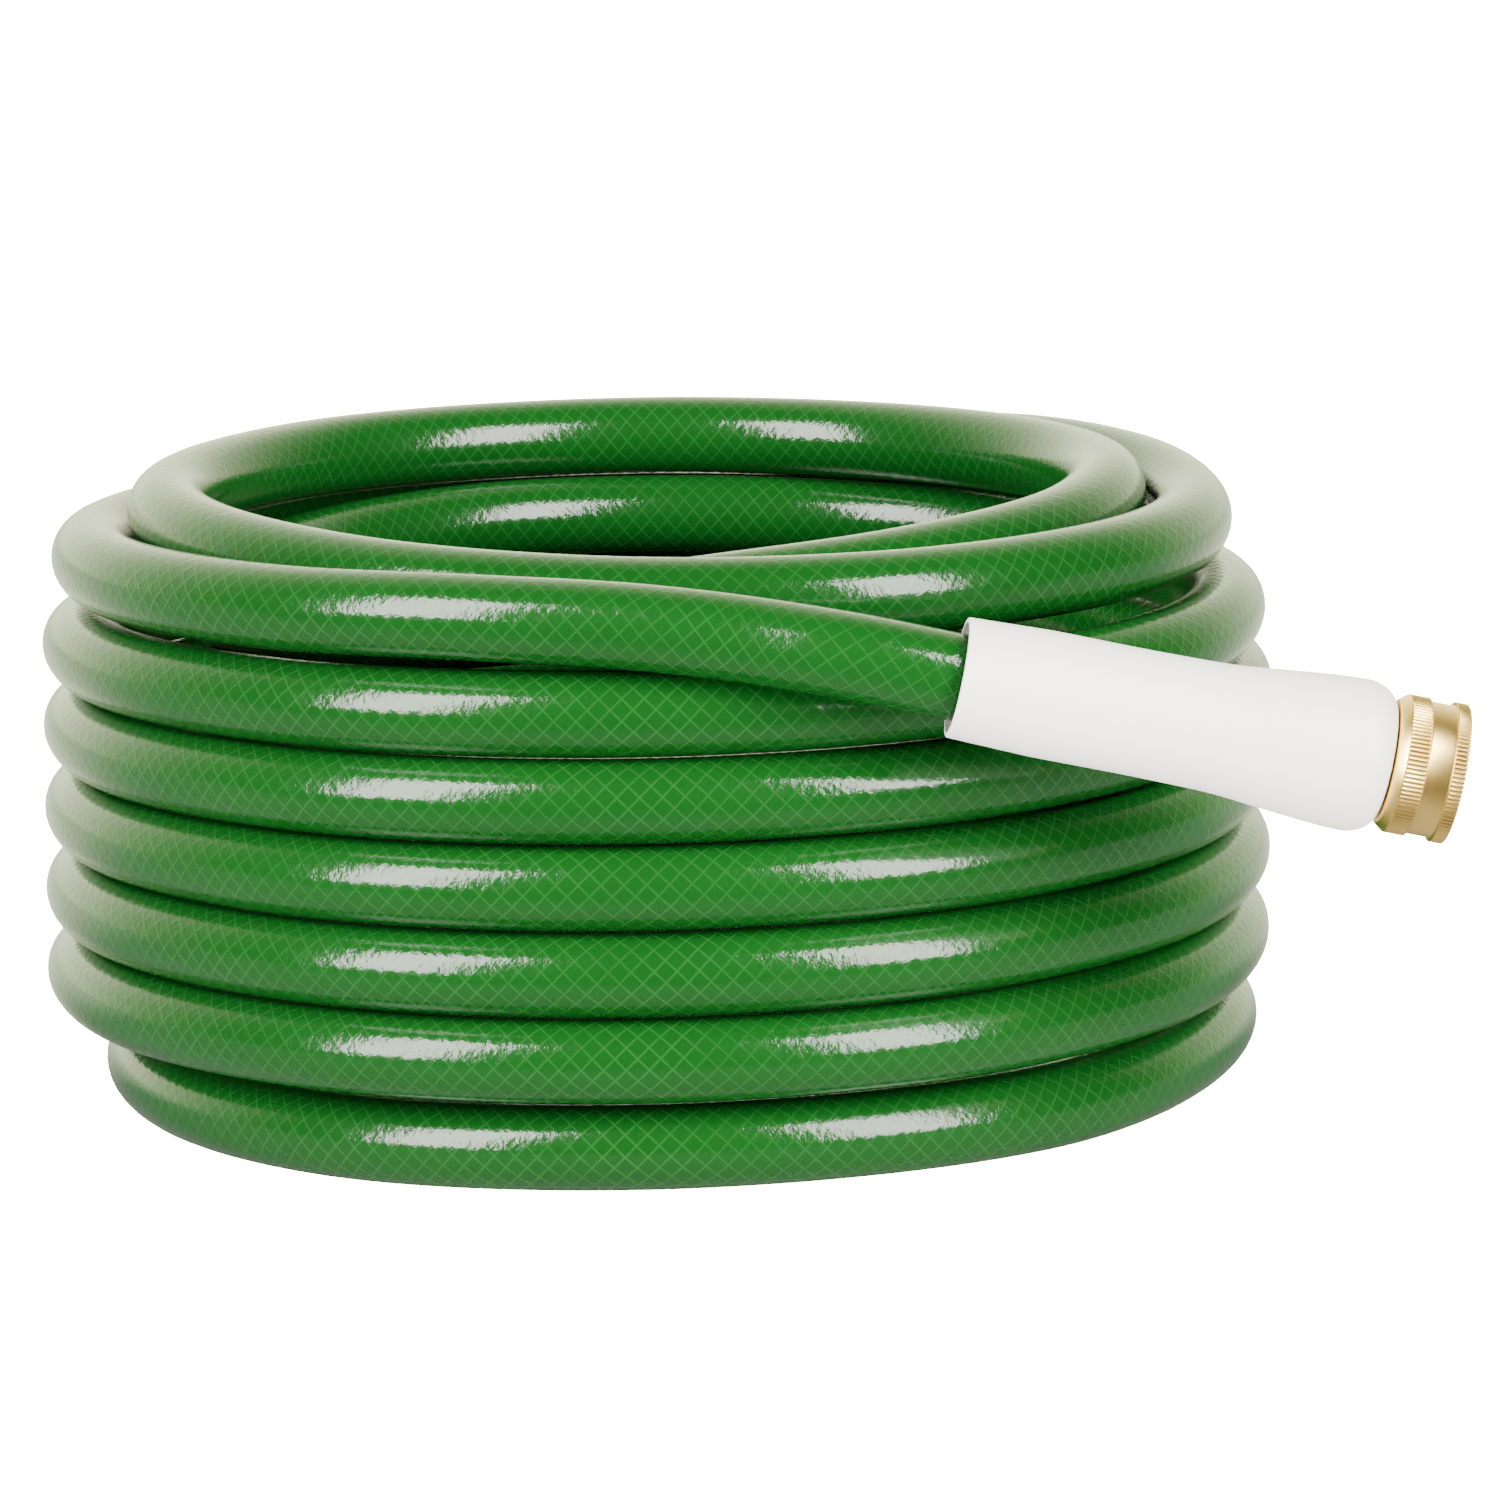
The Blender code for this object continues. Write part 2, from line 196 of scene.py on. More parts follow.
# Fineness of the new meshes
TUBE_SIDES = 36
TUBE_RING_SPACING = 0.0041
TURNED_STEPS = 96
STEPS_A_RIDGE = 6
THREAD_ROWS_A_TURN = 10
FLARE_STEPS = 28
WELD_DISTANCE = 1e-6
ROW_TOLERANCE = 1e-5
EDGE_ANGLE = math.radians(32)
CORNER_POINTS = 3

# Camera, from the coil's axis on the floor
CAMERA_PLACE = Vector((0.0232, -1.9403, 0.4512))
CAMERA_DOWN = math.radians(10.64)
CAMERA_LENS_MM = 187.4
CAMERA_SENSOR_MM = 36.0

# Floor, backdrop, card and softboxes. A share is how bright a reflection sees that part of the room; the
# floor's painted shade share darkens its colour inside the coil.
FLOOR_SIZE = 30.0
TABLE_NEAR = -0.20
TABLE_END = -0.40
FLOOR_NEAR_SHARE = 0.28
FLOOR_FAR_SHARE = 0.03
FLOOR_BACK_SHARE = 0.45
FLOOR_PAINTED_SHADE_SHARE = 0.38
FLOOR_GLOW = 0.4
FLOOR_DARK_PLACE = (0.0, 0.02, 0.0)
FLOOR_DARK_RADIUS = 0.115
FLOOR_WHITE_RADIUS = 0.126
ROOM_END = 0.0
BACKDROP_START = 0.9
BACKDROP_LEAN = 0.15
BACKDROP_TOP = 0.3
OVERHEAD_START = 0.8
OVERHEAD_SHARE = 0.8
RIGHT_SHARE = 0.7
RIGHT_START = 0.5
SHADE_HEIGHT = 0.1
SHADE_RADIUS = 0.125
SOFTBOX_TARGET = Vector((0.0, 0.0, 0.08))
SOFTBOX_DISTANCE = 6.0
SOFTBOX_SIZE = (2.35, 4.9)
SOFTBOX_AZIMUTHS = {"left softbox": -49.0, "right softbox": 45.5}
SOFTBOX_RISE = math.radians(27.0)


# Settings that a user may change


class HoseSettings(PropertyGroup):
    skin: FloatVectorProperty(
        name="Skin",
        description="Colour of the vinyl",
        subtype="COLOR",
        default=(0.0033, 0.0465, 0.0054),
    )
    yarn: FloatVectorProperty(
        name="Yarn",
        description="Colour of the braid seen in the vinyl",
        subtype="COLOR",
        default=(0.0090, 0.0690, 0.0110),
    )
    yarns_round: IntProperty(
        name="Yarns round", description="Yarns of each lay, counted round the hose", default=12
    )
    yarn_pitch: FloatProperty(
        name="Yarn pitch",
        description="Length of one diamond of the braid along the hose",
        default=0.00495,
        unit="LENGTH",
    )
    relief: FloatProperty(
        name="Relief",
        description="Height of the braid's relief in the skin",
        default=0.00002,
        unit="LENGTH",
    )
    ripple: FloatProperty(
        name="Ripple", description="Height of the skin's own unevenness", default=0.00009, unit="LENGTH"
    )


class CollarSettings(PropertyGroup):
    plastic: FloatVectorProperty(
        name="Plastic",
        description="Colour of the collars",
        subtype="COLOR",
        default=(0.955, 0.925, 0.905),
    )
    grain: FloatProperty(
        name="Grain", description="Height of the mould's grain", default=0.00002, unit="LENGTH"
    )


class CouplingSettings(PropertyGroup):
    metal: FloatVectorProperty(
        name="Brass", description="Colour of the couplings", subtype="COLOR", default=(0.99, 0.69, 0.21)
    )
    ridges: IntProperty(
        name="Ridges", description="Ridges round each knurled band of the nut", default=96
    )
    ridge_depth: FloatProperty(
        name="Ridge depth", description="Depth of the knurl", default=0.00034, unit="LENGTH"
    )
    thread_pitch: FloatProperty(
        name="Thread pitch",
        description="Distance from one thread to the next",
        default=0.002209,
        unit="LENGTH",
    )
    thread_depth: FloatProperty(
        name="Thread depth", description="Depth of the threads", default=0.0012, unit="LENGTH"
    )


class StageSettings(PropertyGroup):
    floor: FloatVectorProperty(
        name="Floor", description="Colour of the floor", subtype="COLOR", default=(0.85, 0.85, 0.85)
    )
    softboxes: FloatProperty(
        name="Softboxes", description="Power of each softbox", default=1250.0, unit="POWER"
    )
    warmth: FloatVectorProperty(
        name="Warmth", description="Colour of the softboxes", subtype="COLOR", default=(1.0, 0.985, 0.94)
    )
    backdrop: FloatProperty(
        name="Backdrop", description="Brightness of the white behind the object", default=3.2
    )
    tint: FloatVectorProperty(
        name="Tint",
        description="Colour of the white behind the object",
        subtype="COLOR",
        default=(0.95, 1.0, 0.66),
    )
    room: FloatProperty(
        name="Room", description="Brightness of the room behind the camera", default=0.12
    )
    white: FloatProperty(
        name="White", description="Brightness of the floor and the backdrop to the camera", default=30.0
    )
    fill: FloatProperty(
        name="Fill", description="Brightness of the even light from all sides", default=0.09
    )


# Places


def coil_place(turn, out, level):
    angle = math.pi + 2 * math.pi * turn
    radius = COIL_RADIUS + out * PITCH
    return Vector((radius * math.cos(angle), radius * math.sin(angle), HOSE_RADIUS + level * PITCH))


def direction(heading, dip):
    flat = math.cos(dip)
    return Vector((flat * math.cos(heading), flat * math.sin(heading), -math.sin(dip)))


def free_end():
    """Mouth and axis of the free end's collar, from the coil's axis."""
    return coil_place(*FREE_STATION), direction(FREE_HEADING, FREE_DIP)


def tail_end():
    """Mouth and axis of the inner collar, from the coil's axis."""
    bulb = COLLAR_LENGTH - COLLAR_ROUND_LENGTH
    rise = math.asin((COLLAR_BULB_RADIUS - COLLAR_MOUTH_RADIUS) / bulb)
    mouth = Vector((TAIL_BEND_RADIUS - TAIL_RADIUS, TAIL_BEND_RADIUS, COLLAR_MOUTH_RADIUS + TOUCH_GAP))
    return mouth, direction(0.0, -rise)


def model_origin():
    """The coil's axis on the floor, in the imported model's frame, read from the nut's joint."""
    mouth, axis = free_end()
    return Vector(SWIVEL["pos_m"]) - (mouth + axis * WASHER_FAR)


def end_matrix(end):
    """Places a piece that is turned about Z on an end of the hose, from the collar's mouth."""
    mouth, axis = end
    turned = axis.to_track_quat("Z", "Y").to_matrix().to_4x4()
    return Matrix.Translation(model_origin() + mouth) @ turned


def tail_bend():
    mouth, _ = tail_end()
    for k in range(1, TAIL_BEND_STEPS):
        share = k / TAIL_BEND_STEPS
        angle = math.pi - math.pi / 2 * (1 - share)
        height = mouth.z + (HOSE_RADIUS - mouth.z) * min(1.0, share / TAIL_DROP_SHARE)
        x = TAIL_BEND_RADIUS - TAIL_RADIUS + TAIL_BEND_RADIUS * math.cos(angle)
        yield Vector((x, TAIL_BEND_RADIUS * math.sin(angle), height))


def outer_turns():
    count = round((OUTER_TURNS - 1) * POINTS_A_TURN)
    for k in range(count + 1):
        turn = 1 + k / POINTS_A_TURN
        level = turn + TURN_LIFT + FRONT_LIFT * math.sin(2 * math.pi * turn)
        yield coil_place(turn, 0.0, level)


def route_points():
    tail_mouth, tail_axis = tail_end()
    free_mouth, free_axis = free_end()
    inside = [HOSE_SEAT * share for share in SEAT_SHARES]
    points = [tail_mouth + tail_axis * distance for distance in inside]
    points += tail_bend()
    points += [coil_place(*station) for station in BOTTOM_TURN]
    points += outer_turns()
    points += [coil_place(*station) for station in TOP_TURNS]
    points.append(free_mouth - free_axis * FREE_APPROACH)
    points += [free_mouth + free_axis * distance for distance in reversed(inside)]
    return np.array([tuple(point + model_origin()) for point in points])


def steps_between(points):
    return np.linalg.norm(np.diff(points, axis=0), axis=1)


def smooth_curve(points, count):
    """A number of even steps along a smooth curve through the points."""
    chords = steps_between(points)
    place = np.concatenate([[0.0], np.cumsum(chords)])
    slopes = np.gradient(points, place, axis=0)
    at = np.linspace(0.0, place[-1], count + 1)
    i = np.clip(np.searchsorted(place, at, side="right") - 1, 0, len(chords) - 1)
    span = chords[i][:, None]
    t = ((at - place[i]) / chords[i])[:, None]
    return (
        (2 * t**3 - 3 * t**2 + 1) * points[i]
        + (t**3 - 2 * t**2 + t) * span * slopes[i]
        + (3 * t**2 - 2 * t**3) * points[i + 1]
        + (t**3 - t**2) * span * slopes[i + 1]
    )


def hose_route():
    """The hose's middle line, in steps as long as the tube's rings stand apart."""
    points = route_points()
    return smooth_curve(points, round(steps_between(points).sum() / TUBE_RING_SPACING))


# Materials


class Nodes:
    """The node tree of a material or of the world, with short calls for its nodes and links."""

    def __init__(self, owner, shader):
        owner.use_nodes = True
        self.owner = owner
        self.tree = owner.node_tree
        self.shader = self.tree.nodes[shader]

    def add(self, kind, inputs=None, **settings):
        node = self.tree.nodes.new(kind)
        for key, value in settings.items():
            setattr(node, key, value)
        for key, value in (inputs or {}).items():
            self.put(node.inputs[key], value)
        return node

    def put(self, socket, value):
        if isinstance(value, bpy.types.NodeSocket):
            self.tree.links.new(value, socket)
        else:
            socket.default_value = value

    def math(self, operation, *values):
        node = self.add("ShaderNodeMath", operation=operation)
        for socket, value in zip(node.inputs, values):
            self.put(socket, value)
        return node.outputs[0]

    def vector_math(self, operation, *values, output="Vector"):
        node = self.add("ShaderNodeVectorMath", operation=operation)
        for socket, value in zip(node.inputs, values):
            self.put(socket, value)
        return node.outputs[output]

    def scaled(self, vector, factor):
        inputs = {"Vector": vector, "Scale": factor}
        return self.add("ShaderNodeVectorMath", inputs, operation="SCALE").outputs["Vector"]

    def split(self, vector):
        return self.add("ShaderNodeSeparateXYZ", {"Vector": vector}).outputs

    def noise(self, vector, scale, detail=2.0, roughness=0.5):
        inputs = {"Vector": vector, "Scale": scale, "Detail": detail, "Roughness": roughness}
        return self.add("ShaderNodeTexNoise", inputs).outputs["Fac"]

    def remap(self, value, low, high, to_low=0.0, to_high=1.0, shape="LINEAR"):
        inputs = {"Value": value, "From Min": low, "From Max": high, "To Min": to_low, "To Max": to_high}
        return self.add("ShaderNodeMapRange", inputs, interpolation_type=shape).outputs["Result"]

    def mix(self, share, first, second):
        node = self.add("ShaderNodeMix", data_type="RGBA")
        self.put(node.inputs["Factor"], share)
        self.put(node.inputs["A"], (*first, 1.0) if isinstance(first, (tuple, list)) else first)
        self.put(node.inputs["B"], (*second, 1.0) if isinstance(second, (tuple, list)) else second)
        return node.outputs["Result"]

    def bump(self, height, distance, normal=None):
        inputs = {"Height": height, "Distance": distance, "Strength": 1.0}
        if normal is not None:
            inputs["Normal"] = normal
        return self.add("ShaderNodeBump", inputs).outputs["Normal"]

    def coordinates(self, place=None):
        """Object coordinates, turned into a piece's own axes where a place is given."""
        vector = self.add("ShaderNodeTexCoord").outputs["Object"]
        if place is None:
            return vector
        node = self.add("ShaderNodeMapping", {"Vector": vector}, vector_type="TEXTURE")
        node.inputs["Location"].default_value = place.to_translation()
        node.inputs["Rotation"].default_value = place.to_euler()
        return node.outputs["Vector"]


def new_material(name):
    return Nodes(bpy.data.materials.new(name), "Principled BSDF")


def colour(value):
    return tuple(float(part) for part in value)


def vinyl_material(settings):
    """Green vinyl with two lays of yarn under a clear gloss skin, which follows them a little."""
    nodes = new_material("braided green vinyl")
    uv = nodes.split(nodes.add("ShaderNodeUVMap", uv_map="round_and_along").outputs["UV"])
    waver = nodes.noise(nodes.coordinates(), 35.0, 2.0)
    waver = nodes.math("MULTIPLY", nodes.math("SUBTRACT", waver, 0.5), 0.16)
    around = nodes.math("MULTIPLY", uv["X"], float(settings.yarns_round))
    along = nodes.math("ADD", nodes.math("DIVIDE", uv["Y"], settings.yarn_pitch), waver)
    lay_one = nodes.math("PINGPONG", nodes.math("ADD", around, along), 0.5)
    lay_two = nodes.math("PINGPONG", nodes.math("SUBTRACT", around, along), 0.5)
    nearest = nodes.math("MINIMUM", lay_one, lay_two)
    line = nodes.remap(nearest, 0.035, 0.095, 1.0, 0.0, "SMOOTHSTEP")
    fade = nodes.remap(nodes.noise(nodes.coordinates(), 60.0, 2.0), 0.3, 0.7, 0.55, 1.0)
    tone = nodes.remap(nodes.noise(nodes.coordinates(), 9.0, 3.0), 0.3, 0.7, 0.92, 1.08)
    skin = nodes.scaled(colour(settings.skin), tone)
    base = nodes.mix(nodes.math("MULTIPLY", line, fade), skin, colour(settings.yarn))
    nodes.put(nodes.shader.inputs["Base Color"], base)
    yarn_relief = nodes.remap(nearest, 0.0, 0.32, 1.0, 0.0, "SMOOTHSTEP")
    ripple = nodes.noise(nodes.coordinates(), 780.0, 2.0, 0.6)
    normal = nodes.bump(yarn_relief, settings.relief)
    normal = nodes.bump(ripple, settings.ripple, normal=normal)
    nodes.put(nodes.shader.inputs["Normal"], normal)
    nodes.put(nodes.shader.inputs["Coat Normal"], normal)
    nodes.shader.inputs["Roughness"].default_value = 0.16
    nodes.shader.inputs["Specular IOR Level"].default_value = 0.28
    nodes.shader.inputs["Coat Weight"].default_value = 0.18
    nodes.shader.inputs["Coat Roughness"].default_value = 0.07
    return nodes.owner


def collar_material(settings):
    """Off-white moulded plastic, satin, with a very fine grain."""
    nodes = new_material("white moulded plastic")
    vector = nodes.coordinates()
    tone = nodes.remap(nodes.noise(vector, 14.0, 3.0), 0.3, 0.7, 0.0, 1.0)
    pale = colour(settings.plastic)
    duller = tuple(0.965 * part for part in pale)
    sheen = nodes.remap(nodes.noise(vector, 160.0), 0.3, 0.7, 0.36, 0.46)
    nodes.put(nodes.shader.inputs["Base Color"], nodes.mix(tone, duller, pale))
    nodes.put(nodes.shader.inputs["Roughness"], sheen)
    grain = nodes.add("ShaderNodeTexVoronoi", {"Vector": vector, "Scale": 1500.0}).outputs["Distance"]
    nodes.put(nodes.shader.inputs["Normal"], nodes.bump(grain, settings.grain))
    nodes.shader.inputs["Subsurface Weight"].default_value = 0.08
    nodes.shader.inputs["Subsurface Radius"].default_value = (0.004, 0.004, 0.004)
    return nodes.owner


def brass_material(settings, name, place):
    """Satin brass with the fine rings that a lathe leaves, and duller stains here and there."""
    nodes = new_material(name)
    vector = nodes.coordinates(place)
    part = nodes.split(vector)
    across = nodes.add("ShaderNodeCombineXYZ", {"X": part["X"], "Y": part["Y"]}).outputs["Vector"]
    radius = nodes.vector_math("LENGTH", across, output="Value")
    profile = nodes.add("ShaderNodeCombineXYZ", {"X": radius, "Z": part["Z"]}).outputs["Vector"]
    rings = nodes.noise(profile, 5200.0, 2.0)
    stain = nodes.noise(vector, 130.0, 4.0, 0.6)
    bright = colour(settings.metal)
    dull = (bright[0] * 0.90, bright[1] * 0.84, bright[2] * 0.74)
    nodes.put(nodes.shader.inputs["Base Color"], nodes.mix(nodes.remap(stain, 0.42, 0.75), bright, dull))
    nodes.put(nodes.shader.inputs["Roughness"], nodes.remap(stain, 0.3, 0.7, 0.28, 0.36))
    nodes.put(nodes.shader.inputs["Normal"], nodes.bump(rings, 0.000006))
    nodes.shader.inputs["Metallic"].default_value = 1.0
    return nodes.owner


def rubber_material():
    nodes = new_material("black rubber")
    vector = nodes.coordinates()
    dust = nodes.remap(nodes.noise(vector, 220.0, 3.0), 0.45, 0.8)
    base = nodes.mix(dust, (0.016, 0.016, 0.017), (0.05, 0.05, 0.052))
    nodes.put(nodes.shader.inputs["Base Color"], base)
    nodes.put(nodes.shader.inputs["Normal"], nodes.bump(nodes.noise(vector, 1400.0), 0.00003))
    nodes.shader.inputs["Roughness"].default_value = 0.62
    return nodes.owner


# The hose


def tube_frames(centres):
    """Sideways and upward unit vectors across the route at each of its points."""
    ahead = np.gradient(centres, axis=0)
    ahead /= np.linalg.norm(ahead, axis=1)[:, None]
    side = np.cross(ahead, (0.0, 0.0, 1.0))
    side /= np.linalg.norm(side, axis=1)[:, None]
    return side, np.cross(side, ahead)


def tube_stations(centres):
    """The tube's rings in order, as (point of the route, radius, distance along): bore, outside, bore."""
    last = len(centres) - 1
    along = np.concatenate([[0.0], np.cumsum(steps_between(centres))])
    bore_reach = int(np.searchsorted(along, HOSE_BORE_DEPTH))
    bore = HOSE_BORE / 2
    edge = HOSE_RADIUS - 2 * TOUCH_GAP
    stations = [(bore_reach, bore, along[bore_reach]), (0, bore, 0.0), (0, edge, 0.0)]
    stations += [(k, HOSE_RADIUS, along[k]) for k in range(1, last)]
    stations += [(last, edge, along[last]), (last, bore, along[last])]
    stations.append((last - bore_reach, bore, along[last - bore_reach]))
    return stations


def tube_mesh(name, centres):
    """A tube of rings along the route, closed by its two bored ends."""
    side, up = tube_frames(centres)
    stations = tube_stations(centres)
    turn = np.arange(TUBE_SIDES) * 2 * math.pi / TUBE_SIDES
    bm = bmesh.new()
    layer = bm.loops.layers.uv.new("round_and_along")
    rings = []
    for k, radius, _ in stations:
        places = centres[k] + radius * (np.outer(np.cos(turn), side[k]) + np.outer(np.sin(turn), up[k]))
        rings.append([bm.verts.new(place) for place in places])
    for i in range(len(rings) - 1):
        for j in range(TUBE_SIDES):
            n = (j + 1) % TUBE_SIDES
            face = bm.faces.new((rings[i][j], rings[i][n], rings[i + 1][n], rings[i + 1][j]))
            face.smooth = True
            corners = ((j, i), (j + 1, i), (j + 1, i + 1), (j, i + 1))
            for loop, (step, ring) in zip(face.loops, corners):
                loop[layer].uv = (step / TUBE_SIDES, stations[ring][2])
    bm.faces.new(rings[0])
    bm.faces.new(rings[-1])
    bmesh.ops.recalc_face_normals(bm, faces=bm.faces)
    mesh = bpy.data.meshes.new(name)
    bm.to_mesh(mesh)
    bm.free()
    return mesh


# Turned pieces: an outline of (radius, distance along the axis), spun about Z


def rounded(outline, radii):
    """The outline with each corner that has a radius turned into a short arc."""
    points = []
    count = len(outline)
    for i, corner in enumerate(outline):
        radius = radii.get(i, 0.0)
        here = Vector(corner)
        if not radius:
            points.append(here)
            continue
        before = Vector(outline[i - 1]) - here
        after = Vector(outline[(i + 1) % count]) - here
        start = here + before.normalized() * min(radius, before.length / 2)
        end = here + after.normalized() * min(radius, after.length / 2)
        for step in range(CORNER_POINTS + 1):
            t = step / CORNER_POINTS
            points.append(start.lerp(here, t).lerp(here.lerp(end, t), t))
    return points


def all_corners(outline, radius):
    return rounded(outline, {i: radius for i in range(len(outline))})


def turned(name, outline, steps):
    """Draw the closed outline point by point, spin it all the way round and close the seam."""
    bpy.ops.object.select_all(action="DESELECT")
    bpy.ops.mesh.primitive_plane_add(size=TOUCH_GAP)
    piece = bpy.context.active_object
    piece.name = name
    piece.data.name = name
    bpy.ops.object.mode_set(mode="EDIT")
    bpy.ops.mesh.merge(type="CENTER")
    place = Vector((outline[0][0], 0.0, outline[0][1]))
    bpy.ops.transform.translate(value=place)
    for radius, height in [*outline[1:], outline[0]]:
        following = Vector((radius, 0.0, height))
        bpy.ops.mesh.extrude_region_move(TRANSFORM_OT_translate={"value": following - place})
        place = following
    bpy.ops.mesh.select_all(action="SELECT")
    bpy.ops.mesh.remove_doubles(threshold=WELD_DISTANCE)
    bpy.ops.mesh.spin(steps=steps, angle=2 * math.pi, center=(0.0, 0.0, 0.0), axis=(0.0, 0.0, 1.0))
    bpy.ops.mesh.select_all(action="SELECT")
    bpy.ops.mesh.remove_doubles(threshold=WELD_DISTANCE)
    bpy.ops.mesh.normals_make_consistent(inside=False)
    bpy.ops.object.mode_set(mode="OBJECT")
    return piece


def settle(piece, end, material, body, node):
    """Set the piece on its end of the hose, give it its finish and let it stand for its node."""
    bpy.ops.object.select_all(action="DESELECT")
    piece.select_set(True)
    bpy.context.view_layer.objects.active = piece
    bpy.ops.object.shade_smooth_by_angle(angle=EDGE_ANGLE, keep_sharp_edges=False)
    piece.matrix_world = end_matrix(end)
    bpy.ops.object.transform_apply(location=True, rotation=True, scale=True)
    piece.data.materials.clear()
    piece.data.materials.append(material)
    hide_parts(node)
    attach(piece, body)
    return piece


def collar_outline():
    """The collar's section: a rounded end, a bulb, a flare down to the grip, and a thin open mouth."""
    seat = HOSE_RADIUS + TOUCH_GAP
    mouth_bore = COLLAR_MOUTH_RADIUS - COLLAR_MOUTH_WALL
    neck_end = COLLAR_LENGTH - COLLAR_NECK_LENGTH
    bulb = COLLAR_LENGTH - COLLAR_ROUND_LENGTH
    grip_end = COLLAR_LENGTH - COLLAR_SHOULDER_LENGTH - COLLAR_FLARE_LENGTH
    reach = COLLAR_BULB_RADIUS - COLLAR_END_RADIUS
    rounds = []
    for degrees in range(80, 0, -10):
        angle = math.radians(degrees)
        radius = COLLAR_END_RADIUS + reach * math.cos(angle)
        rounds.append((radius, bulb + COLLAR_ROUND_LENGTH * math.sin(angle)))
    flare = [(COLLAR_BULB_RADIUS, bulb)]
    for length_share, height_share in FLARE_SHAPE:
        rise = height_share * (COLLAR_BULB_RADIUS - COLLAR_GRIP_RADIUS)
        flare.append((COLLAR_GRIP_RADIUS + rise, grip_end + length_share * COLLAR_FLARE_LENGTH))
    flare.append((COLLAR_GRIP_RADIUS, grip_end))
    flare.append((COLLAR_GRIP_RADIUS, COLLAR_LIP_LENGTH))
    flare = [tuple(point) for point in smooth_curve(np.array(flare), FLARE_STEPS)]
    lip = rounded([flare[-1], (COLLAR_MOUTH_RADIUS, 0.0), (mouth_bore, 0.0)], {1: COLLAR_MOUTH_WALL / 2})
    inner = rounded(
        [lip[-1], (mouth_bore, neck_end - COLLAR_FUNNEL_LENGTH), (seat, neck_end), (seat, COLLAR_LENGTH)],
        {1: COLLAR_BORE_EDGE, 2: COLLAR_BORE_EDGE},
    )
    return [(COLLAR_END_RADIUS, COLLAR_LENGTH), *rounds, *flare[:-1], *lip[:-1], *inner]


def nut_outline():
    """The nut's section from its mouth round the outside to the back wall and along the socket."""
    band = NUT_BACK + NUT_CHAMFER
    waist = band + NUT_BAND_WIDTH
    rim = NUT_FRONT - NUT_RIM_WIDTH
    outline = [
        (NUT_SOCKET_RADIUS + NUT_MOUTH_CHAMFER, NUT_FRONT),
        (NUT_RIM_RADIUS, NUT_FRONT),
        (NUT_RIM_RADIUS, rim),
        (NUT_WAIST_RADIUS, rim),
        (NUT_WAIST_RADIUS, waist),
        (NUT_BAND_RADIUS, waist),
        (NUT_BAND_RADIUS, band),
        (NUT_BACK_RADIUS, NUT_BACK),
        (NECK_RADIUS + TOUCH_GAP, NUT_BACK),
        (NECK_RADIUS + TOUCH_GAP, NUT_BACK + NUT_BACK_WALL),
        (NUT_SOCKET_RADIUS, NUT_BACK + NUT_BACK_WALL),
    ]
    rim_edges = (FINE_EDGE, FULL_EDGE, SMALL_EDGE, SMALL_EDGE)
    band_edges = (PLAIN_EDGE, SMALL_EDGE, SMALL_EDGE, PLAIN_EDGE, FINE_EDGE)
    return rounded(outline, dict(enumerate(rim_edges + band_edges)))


def thread_rows(radius, start, end, pitch):
    """Rows of points close enough together for a thread to be pressed into them."""
    count = math.ceil((end - start) / pitch * THREAD_ROWS_A_TURN)
    return [(radius, start + (end - start) * k / count) for k in range(count + 1)]


def press_thread(piece, radius, start, end, pitch, depth, inward):
    """Raise one right-hand thread in the rows at this radius, inwards or outwards."""
    for vertex in piece.data.vertices:
        x, y, z = vertex.co
        here = math.hypot(x, y)
        if abs(here - radius) > ROW_TOLERANCE or not start - WELD_DISTANCE <= z <= end + WELD_DISTANCE:
            continue
        phase = (z / pitch - math.atan2(y, x) / (2 * math.pi)) % 1.0
        flank = (THREAD_ROOT_SHARE - abs(phase - 0.5)) / (THREAD_ROOT_SHARE - THREAD_CREST_SHARE)
        ends = min(1.0, (z - start) / pitch, (end - z) / pitch)
        moved = depth * min(1.0, max(0.0, flank)) * max(0.0, ends)
        factor = (here - moved) / here if inward else (here + moved) / here
        vertex.co.x *= factor
        vertex.co.y *= factor


def scale_points(piece, chosen, factor):
    """In edit mode, draw the chosen points towards the axis by one factor."""
    flags = np.zeros(len(piece.data.vertices), dtype=bool)
    flags[chosen] = True
    piece.data.vertices.foreach_set("select", flags)
    piece.data.edges.foreach_set("select", np.zeros(len(piece.data.edges), dtype=bool))
    piece.data.polygons.foreach_set("select", np.zeros(len(piece.data.polygons), dtype=bool))
    bpy.ops.object.mode_set(mode="EDIT")
    bpy.ops.transform.resize(value=(factor, factor, 1.0), center_override=(0.0, 0.0, 0.0))
    bpy.ops.object.mode_set(mode="OBJECT")


def knurl(piece, settings, radius, low, high):
    """Draw every ridge's valley inwards, so that straight ridges stand round a band."""
    count = settings.ridges * STEPS_A_RIDGE
    rows = {}
    for vertex in piece.data.vertices:
        x, y, z = vertex.co
        if low < z < high and math.hypot(x, y) > radius - ROW_TOLERANCE:
            step = round(math.atan2(y, x) / (2 * math.pi) * count) % STEPS_A_RIDGE
            rows.setdefault(min(step, STEPS_A_RIDGE - step), []).append(vertex.index)
    half = STEPS_A_RIDGE // 2
    for step in range(1, half + 1):
        drop = settings.ridge_depth * (1 - math.cos(math.pi * step / half)) / 2
        scale_points(piece, rows[step], 1 - drop / radius)


# Operators


class MESH_OT_garden_hose_tube(Operator):
    """Add the whole hose along its coiled route, from the inner collar to the free one"""

    bl_idname = "mesh.garden_hose_tube"
    bl_label = "Coiled Tube"

    def execute(self, context):
        centres = hose_route()
        tube = bpy.data.objects.new("hose_tube", tube_mesh("hose_tube", centres))
        context.scene.collection.objects.link(tube)
        tube.data.materials.append(vinyl_material(context.scene.garden_hose))
        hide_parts("hose")
        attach(tube, HOSE_BODY)
        return {"FINISHED"}


